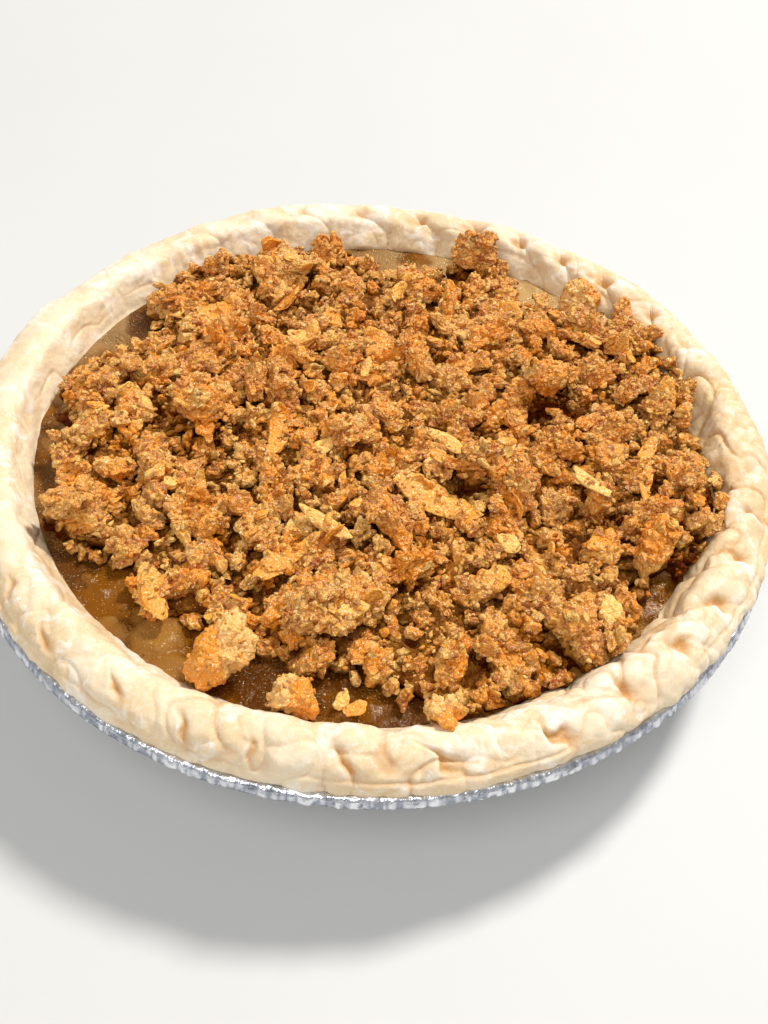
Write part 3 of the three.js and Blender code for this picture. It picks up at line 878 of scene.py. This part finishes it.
# Reach of broken chunks along each direction: (sum over planes of (normal . direction / depth)^5)^(-1/5),
# a stone with flattish sides and soft edges. With flat near 0 all its planes stand upright.
def brokenShapes(directions, count, random, planes=12, flat=1.0):
    normals = unit(random.normal(size=(count, planes, 3)) * [1, 1, flat])
    depths = 0.6 + 0.4 * random.random((count, 1, planes))
    facing = np.clip(np.einsum("vi,npi->nvp", directions, normals), 0, None) / depths
    return np.clip((facing**5).sum(2), 0.3, None) ** (-1 / 5)


# Crumbly relief in millimetres: |noise| of bent places gives knobs with sharp creases between them, and domes
# 1 - d^2 of small cells with their own heights give granules. Also a mask for painted shade, low in the
# creases, and the granules' own values.
def crumbly(points, seed, chunk=4.2, granule=1.7):
    bent = points + 0.35 * chunk * drift(points, 0.7 * chunk, seed + 1, 3)
    knobs = np.abs(softNoise(bent, chunk, seed + 10)) ** 0.8
    smaller = np.abs(softNoise(bent, 0.5 * chunk, seed + 20))
    nearest, second, own = cellNoise(bent, granule, seed + 30)
    domes = (0.35 + own) * (1 - nearest**2)
    relief = 1.1 * knobs + 0.5 * smaller + 1.35 * domes + 0.5 * softNoise(points, 0.8, seed + 40)
    # mask for painted shade: low in the creases between knobs and granules
    creaseShade = 0.5 + 0.5 * ramp(knobs, 0.02, 0.3) * (0.6 + 0.4 * ramp(second - nearest, 0.0, 0.3))
    return relief - 1.25, creaseShade, own


# Half sizes of some bits along three axes: each is the size times low + spread * a draw.
def unevenSizes(sizes, random, *axes):
    return sizes[:, None] * np.stack([low + spread * random.random(len(sizes)) for low, spread in axes], 1)


# Where the clumps of one kind come to lie: centres and half sizes.
def settleClumps(kind, pile):
    s = heap[kind]
    random = np.random.default_rng(s["seed"])
    sizes = between(s["size"], np.sort(random.random(s["count"]) ** 1.4)[::-1])
    half = unevenSizes(sizes, random, (0.9, 0.4), (0.7, 0.3), (0.62, 0.3))
    centres = []
    pile.settle()
    for size, (long, wide, tall) in zip(sizes, half):
        x, y = pile.nextPlace(random, size, [c[:2] for c in centres])
        z = pile.support(x, y, size) + tall * random.uniform(*s["lift"])
        pile.press(x, y, z, 0.5 * (long + wide), tall)
        centres.append((x, y, z))
    return np.array(centres), half


# Clumps of one kind, joined: broken chunks, each bent by broad noise, then roughened by crumb.
def makeClumps(kind, centres, half, pile, material, roughness):
    s = heap[kind]
    random = np.random.default_rng(s["seed"] + 100)
    directions, triangles = ballTemplate(s["level"], 1.35)
    count, each = len(centres), len(directions)
    lean = np.column_stack([random.normal(0, 0.2, (count, 2)), np.ones(count)])
    turns = turnTo(lean, random.random(count) * turn)
    bent = 1 + 0.38 * ownNoise(np.repeat([directions * 1.7], count, 0), 7.3, 1.1, s["seed"] * 10, 3)
    shapes = directions * (brokenShapes(directions, count, random) * bent)[..., None]
    points = placeCopies(shapes * half[:, None], turns, centres)
    outward = unit(points - centres[:, None])
    relief, creaseShade, own = (v.reshape(count, each) for v in crumbly(points.reshape(-1, 3), s["seed"] * 10 + 3))
    points = keepInside(points + outward * (roughness * relief)[..., None])
    patch = layeredNoise(points, 5.0, s["seed"] + 200, 2).reshape(count, each)
    pale = random.random((count, 1)) ** 1.5
    browned = random.random((count, 1)) ** 1.4
    tone = 0.5 * pale + 0.7 * (own - 0.5) + 0.4 * patch
    toast = 0.7 * browned + 0.15 * outward[..., 2] + 0.3 * (own - 0.5) - 0.7 * patch
    # painted shade: darker in the crumb's creases and deep in the heap's gaps
    knob = creaseShade.ravel() * pile.openness(points)
    return addCopies("streusel" + kind.capitalize(), points, triangles, material, tone, toast, knob, False)


# Points of some copies as one list, those that would cross the crust's inner wall, which leans out, or the
# filling pressed back to them.
def keepInside(copies):
    x, y, level = copies.reshape(-1, 3).T
    wall = heap["wall"]
    widest = wall["radius"] + wall["lean"] * np.clip(level - wall["foot"], 0, wall["rise"])
    widest = widest + wall["flare"] * np.clip(level - wall["crest"], 0, wall["rise"])
    shrink = np.minimum(1, widest / np.maximum(np.hypot(x, y), 1e-6))
    return np.stack([x * shrink, y * shrink, np.maximum(level, heap["lowest"])], 1)


def addCrumbs(name, points, faces, material, tone, toast, knob, replaced=(), smooth=True, slot="streusel"):
    tone, toast = np.clip(tone, 0, 1), np.clip(toast, 0, 1)
    addPiece(name, points * mm, faces, material, slot, replaced, smooth, tone=tone, toast=toast, knob=knob)
    return points, faces


# Copies of one template joined in a piece, with a look for each copy or for each of its points.
def addCopies(name, points, triangles, material, tone, toast, knob, smooth):
    count = len(tone)
    each = len(points) // count
    faces = (triangles + np.arange(count)[:, None, None] * each).reshape(-1, 3)
    looks = [np.broadcast_to(look.reshape(count, -1), (count, each)).ravel() for look in (tone, toast, knob)]
    return addCrumbs(name, points, faces, material, *looks, (), smooth)


# Core: a polar height field with the heap's outline, knobbly with crumb.
def makeCore(material):
    s = heap["core"]
    rows, rings, foot = s["rows"], s["rings"], s["foot"]
    angle = azimuths(rows)
    edge = heapEdge(angle) - s["inset"]
    share = np.linspace(1, 0.04, rings)[None]
    radius = edge * share
    spots = polarPoints(angle, radius, 0)
    relief, creaseShade, own = crumbly(spots, 131, 3.4)
    own, creaseShade = own.reshape(rows, rings), creaseShade.reshape(rows, rings)
    rough = (1.5 * relief + 1.2 * layeredNoise(spots, 12, 141, 3)).reshape(rows, rings)
    level = heap["base"] + coreRise(share) + rough * (0.35 + 0.65 * ramp(1 - share, 0, 0.08))
    radius = np.concatenate([edge * 0.1, edge, radius], 1)
    level = np.pad(level, ((0, 0), (2, 0)), constant_values=foot)
    points = turnedPoints(angle, radius, level, foot, heap["base"] + coreRise(np.array(0.0)))
    faces = turnedTriangles(rows, rings + 2)
    # painted shade: the core lies under the clumps, so its mask is low and it is mostly shaded
    tone, knob = wholeBody(0.3 * own, 2), wholeBody(0.3 * creaseShade, 2)
    tone[-1] = knob[-1] = 0.3  # the pole in the middle
    return addCrumbs("streuselCore", points, faces, material, tone, 0.3 * tone, knob, ["streusel"])


# A search tree over the surfaces made so far, for letting small things fall on them.
def treeOver(parts):
    offsets = np.cumsum([0] + [len(p) for p, _ in parts[:-1]])
    points = np.concatenate([p for p, _ in parts])
    faces = np.concatenate([f + o for (_, f), o in zip(parts, offsets)])
    return BVHTree.FromPolygons(points.tolist(), faces.tolist())


# Where seeded rays, slanted down at random, first meet the crumbs: places and surface normals.
def fallOn(tree, count, random, slant, lowest=0.0, widest=97.0):
    places, normals = [], []
    while len(places) < count:
        angle = random.random() * turn
        radius = math.sqrt(random.random()) * widest
        down = Vector((random.normal(0, slant), random.normal(0, slant), -1)).normalized()
        target = Vector((radius * math.cos(angle), radius * math.sin(angle), heap["fall"]["through"]))
        place, normal, _, _ = tree.ray_cast(target - down * heap["fall"]["from"], down)
        if place is None or place.z < lowest:
            continue
        places.append(place[:])
        normals.append(normal[:] if normal.z > 0 else (-normal)[:])
    return np.array(places), np.array(normals)


# Small solid bits of one kind, joined: broken chunks part sunk in what they fell on, turned with its surface.
def makeBits(kind, tree, pile, material, flat, sink):
    s = heap[kind]
    random = np.random.default_rng(s["seed"])
    directions, triangles = ballTemplate(s["level"])
    count, each = s["count"], len(directions)
    places, normals = fallOn(tree, count, random, 0.55)
    sizes = between(s["size"], random.random(count) ** 2)
    half = unevenSizes(sizes, random, (0.9, 0.6), (0.7, 0.3), (0.8 * flat, 0.4 * flat))
    normals = normals + random.normal(0, 0.45, (count, 3))
    turns = turnTo(normals, random.random(count) * turn)
    centres = places + unit(normals) * half[:, 2:] * (1 - 2 * sink)
    rough = 1 + 0.45 * (random.random((count, each)) - 0.5)
    shapes = directions * (brokenShapes(directions, count, random, 8) * rough)[..., None]
    points = keepInside(placeCopies(shapes * half[:, None], turns, centres))
    tone = random.random(count) ** 1.3
    toast = random.random(count) ** 2 * 0.9
    # painted shade: darker on each bit's underside and deep in the heap's gaps
    knob = np.tile(0.6 + 0.4 * directions[:, 2], count) * pile.openness(points)
    return addCopies("streusel" + kind.capitalize(), points, triangles, material, tone, toast, knob, False)


# Toasted flakes of one kind, joined: thin plates with the outline of broken chunks, pitted and curled by x^2.
def makeFlakes(kind, tree, material, long, lean, places=()):
    s = heap[kind]
    random = np.random.default_rng(s["seed"])
    directions, triangles = ballTemplate(s["level"])
    count = s["count"]
    spots, normals = fallOn(tree, count, random, 0.3, lowest=38.5, widest=90.0)
    sizes = between(s["size"], random.random(count) ** 1.6)
    spins = random.random(count) * turn
    stretch = long * (0.8 + 0.6 * random.random(count))
    tone = 0.1 + 0.7 * random.random(count) ** 1.8
    toast = random.random(count)
    tilt = random.normal(0, lean, (count, 3))
    for i, (azimuth, radius, size, slim, spin, pale, browned) in enumerate(places):
        x, y = onPlan(azimuth, radius)
        under = tree.ray_cast(Vector((x, y, heap["above"])), Vector((0, 0, -1)))[0]
        spots[i] = under or (x, y, heap["base"])
        normals[i] = (0.0, -0.3, 1.0)
        tilt[i] = 0
        sizes[i], stretch[i], spins[i] = size, slim, math.radians(spin + 90)
        tone[i], toast[i] = pale, browned
    flatness = np.hypot(directions[:, 0], directions[:, 1])
    plate = directions * brokenShapes(directions, count, random, 7, 0.2)[..., None]
    ragged = 1 + 0.35 * ownNoise(np.repeat([directions * 1.2], count, 0), 5.7, 0.9, s["seed"] + 50, 3)
    plate[..., :2] *= (np.clip(flatness**-0.35, 0, 1.6) * ragged)[..., None]
    thickness = between(s["thickness"], random.random(count)) / 2
    local = plate * np.stack([sizes * stretch, sizes, thickness], 1)[:, None]
    curl = (0.1 + 0.25 * random.random(count)) / (sizes * stretch)
    local[..., 2] += curl[:, None] * (local[..., 0] ** 2 - 0.4 * (sizes * stretch)[:, None] ** 2)
    pits = ownNoise(local, 9.1, 1.5, s["seed"], 2)
    local[..., 2] += 0.45 * pits
    local[..., :2] *= 1 + 0.12 * pits[..., None]
    turns = turnTo(normals + tilt, spins)
    centres = spots + np.array([0, 0, 0.4]) + 0.15 * sizes[:, None] * turns[:, :, 2]
    points = keepInside(placeCopies(local, turns, centres))
    knob = np.full(count, 0.9)
    return addCopies("toasted" + kind.capitalize(), points, triangles, material, tone, toast, knob, True)


def solidCorners(spec):  # of a loose crumb's CAD solid, in millimetres
    return np.array([v.co[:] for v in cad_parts[spec["node"]].data.vertices]) / mm


# Loose crumb: a ball drawn onto its CAD solid by rays towards the middle, softened, bent by broad noise, then
# roughened by crumb, most on its pale side.
def makeLooseCrumb(spec, material):
    corners = solidCorners(spec)
    facets = [list(p.vertices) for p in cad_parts[spec["node"]].data.polygons]
    tree = BVHTree.FromPolygons(corners.tolist(), facets)
    middle = (corners.min(0) + corners.max(0)) / 2
    directions, triangles = ballTemplate(5)
    far = 60  # well outside the crumb
    hits = np.array([tree.ray_cast(Vector(middle + d * far), Vector(-d))[0][:] for d in directions])
    reach = np.linalg.norm(hits - middle, axis=1)
    for _ in range(4):  # soften its facets: each reach becomes the mean over its triangles
        means = np.repeat(reach[triangles].mean(1), 3)
        reach = np.bincount(triangles.ravel(), means) / np.bincount(triangles.ravel())
    points = middle + directions * reach[:, None]
    points = points + directions * (1.9 * layeredNoise(points, 5, spec["seed"], 2))[:, None]
    relief, creaseShade, own = crumbly(points, spec["seed"] * 7, 3.2)
    patch = softNoise(points, 6, spec["seed"])
    facing = directions @ np.array([*onPlan(spec["paleSide"], 1), 0.35])
    pale = ramp(facing + 0.35 * patch, 0.1, 0.5)
    points = points + directions * ((0.6 + 0.5 * pale) * relief)[:, None]
    toast = spec["toast"] * (1 - 0.8 * pale)
    tone = spec["tone"] + 0.4 * (own - 0.5) + 0.6 * pale
    name = "crumb" + "".join(word.capitalize() for word in spec["node"].split("_")[1:])
    # painted shade in the crumb's creases
    knob = 0.3 + 0.7 * creaseShade
    return addCrumbs(name, points, triangles, material, tone, toast, knob, [spec["node"]], True, "crumb")


# Middle and rough half width of each loose crumb's CAD solid, so that the heap keeps off it.
def crumbSpots():
    spots = []
    for spec in looseCrumbs:
        corners = solidCorners(spec)
        low, high = corners.min(0), corners.max(0)
        spots.append((*((low + high) / 2)[:2], 0.35 * np.hypot(*(high - low)[:2])))
    return spots


def makeStreusel():
    coarse = makeCrumbMaterial("streuselCrumb", 1700.0, 0.55 * mm)
    fine = makeCrumbMaterial("looseCrumb", 2000.0, 0.3 * mm)
    tints = {"Dark": colour(230, 136, 16), "Middle": colour(250, 170, 38), "Pale": colour(255, 202, 104)}
    plate = makeCrumbMaterial("toastedFlake", 1300.0, 0.4 * mm, **tints)
    tints = {"Dark": colour(210, 108, 6), "Middle": colour(238, 150, 24), "Pale": colour(250, 204, 122)}
    golden = makeCrumbMaterial("goldenCrumb", 1500.0, 0.4 * mm, Toasted=colour(242, 150, 14), **tints)
    pile = Pile(crumbSpots())
    settled = {kind: settleClumps(kind, pile) for kind in ("boulders", "clumps", "lumps")}
    pile.settle()
    parts = [makeCore(coarse)]
    for kind, roughness in (("boulders", 1.25), ("clumps", 1.05), ("lumps", 0.85)):
        parts.append(makeClumps(kind, *settled[kind], pile, coarse, roughness))
    print(f"heap reaches {max(p[:, 2].max() for p, _ in parts):.1f} mm")
    tree = treeOver(parts)
    parts.append(makeBits("nuggets", tree, pile, coarse, 0.75, 0.45))
    parts.append(makeFlakes("chips", tree, plate, 1.2, 0.5, standingChips))
    parts += [makeLooseCrumb(spec, golden) for spec in looseCrumbs]
    tree = treeOver(parts)
    makeBits("grains", tree, pile, fine, 0.85, 0.42)
    makeFlakes("oats", tree, plate, 1.25, 0.35)


# Floor, light and camera

studio = {
    "lens": 40.43,
    "camera": (4.82, -229.25, 258.68),
    "pitch": 47.95,  # degrees down
    "roll": 3.94,
    "floor": 4.0,  # its radius in metres
    "floorSides": 96,
    # azimuth, elevation, distance and size in metres, power and tint
    "lights": {
        "keyLight": (50, 54, 3.0, 0.5, 84, (1.0, 0.97, 0.93)),
        "fillLight": (250, 60, 3.0, 2.0, 38, (1, 1, 1)),
    },
    "ambient": ((1.0, 0.99, 0.97, 1), 0.36),  # colour and strength
}


def makeStudio():
    s = studio
    floorMesh = bpy.data.meshes.new("floor")
    edge = polarPoints(azimuths(s["floorSides"]), s["floor"], 0)
    floorMesh.from_pydata(edge.tolist(), [], [list(range(s["floorSides"]))])
    floor = link("floor", floorMesh)
    shader = Surface("paleFloor")
    tint = shader.blend(shader.noise(shader.place(), 6.0), colour(206, 206, 204), colour(212, 212, 210))
    floorMesh.materials.append(shader.finish({"Base Color": tint, "Roughness": 0.6}))

    p, r = math.radians(s["pitch"]), math.radians(s["roll"])
    forward = Vector((0, math.cos(p), -math.sin(p)))
    right = Vector((math.cos(r), math.sin(r) * math.sin(p), math.sin(r) * math.cos(p)))
    up = right.cross(forward)
    camera = link("camera", bpy.data.cameras.new("camera"))
    camera.data.lens = s["lens"]
    camera.data.sensor_width = 36
    camera.data.clip_start = 0.01
    facing = Matrix((right, up, -forward)).transposed().to_4x4()
    camera.matrix_world = Matrix.Translation(Vector(s["camera"]) * mm) @ facing
    bpy.context.scene.camera = camera

    for name, (azimuth, elevation, distance, size, power, tint) in s["lights"].items():
        e = math.radians(elevation)
        place = Vector((*onPlan(azimuth, math.cos(e)), math.sin(e))) * distance
        lamp = link(name, bpy.data.lights.new(name, "AREA"))
        lamp.data.shape = "DISK"
        lamp.data.size = size
        lamp.data.energy = power
        lamp.data.color = tint
        lamp.location = place
        lamp.rotation_euler = (-place).to_track_quat("-Z", "Y").to_euler()

    world = bpy.data.worlds.new("studio")
    world.use_nodes = True
    background = world.node_tree.nodes["Background"].inputs
    background["Color"].default_value, background["Strength"].default_value = s["ambient"]
    bpy.context.scene.world = world
    bpy.context.scene.view_settings.view_transform = "Standard"
    print("floor, lights and camera ready")


makeTin()
makeCrust()
makeFilling()
makeStreusel()
makeStudio()
